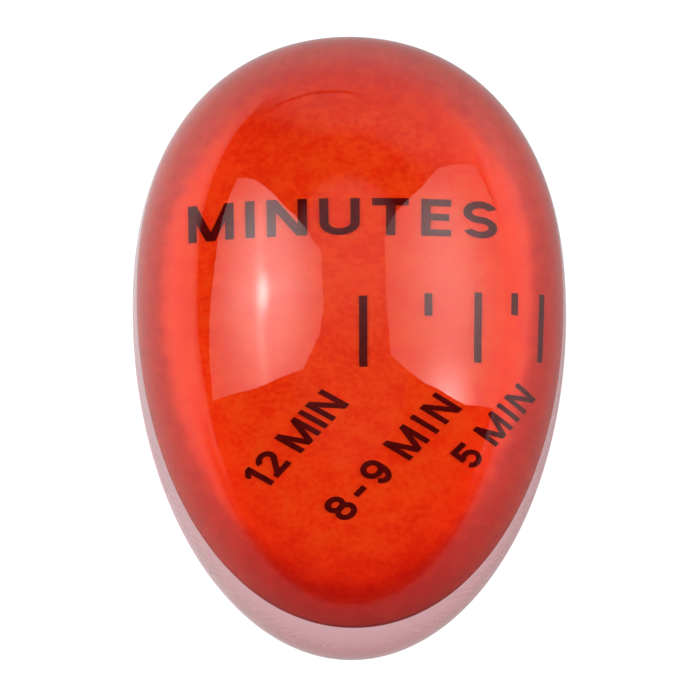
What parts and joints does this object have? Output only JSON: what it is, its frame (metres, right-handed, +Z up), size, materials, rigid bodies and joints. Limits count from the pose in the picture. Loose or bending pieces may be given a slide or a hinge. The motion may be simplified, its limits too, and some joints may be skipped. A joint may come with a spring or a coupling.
{
  "type": "egg timer",
  "caption": "Clear resin egg, flat underneath, cast round a heat-sensitive red sheet printed with a scale of minutes.",
  "frame": {"origin": "centre of the bounding box in plan, on the flat underside that the timer rests on", "axes": "+Z up out of the dome, +Y along the egg towards its broad end, +X to the right when the print is read upright"},
  "size_m": [0.039, 0.0566, 0.032],
  "materials": {
    "clear_resin": "polished",
    "red_indicator": "matte",
    "black_ink": "matte"
  },
  "bodies": {
    "root": {"upper_casting": "clear_resin", "lower_casting": "clear_resin", "indicator_sheet": "red_indicator", "bar_12_min": "black_ink", "tick_10_min": "black_ink", "bar_8_min": "black_ink", "tick_7_min": "black_ink", "bar_5_min": "black_ink", "heading_1_M": "black_ink", "heading_2_I": "black_ink", "heading_3_N": "black_ink", "heading_4_U": "black_ink", "heading_5_T": "black_ink", "heading_6_E": "black_ink", "heading_7_S": "black_ink", "label_12_1_1": "black_ink", "label_12_2_2": "black_ink", "label_12_4_M": "black_ink", "label_12_5_I": "black_ink", "label_12_6_N": "black_ink", "label_8_9_1_8": "black_ink", "label_8_9_2_dash": "black_ink", "label_8_9_3_9": "black_ink", "label_8_9_5_M": "black_ink", "label_8_9_6_I": "black_ink", "label_8_9_7_N": "black_ink", "label_5_1_5": "black_ink", "label_5_3_M": "black_ink", "label_5_4_I": "black_ink", "label_5_5_N": "black_ink"}
  },
  "joints": []
}
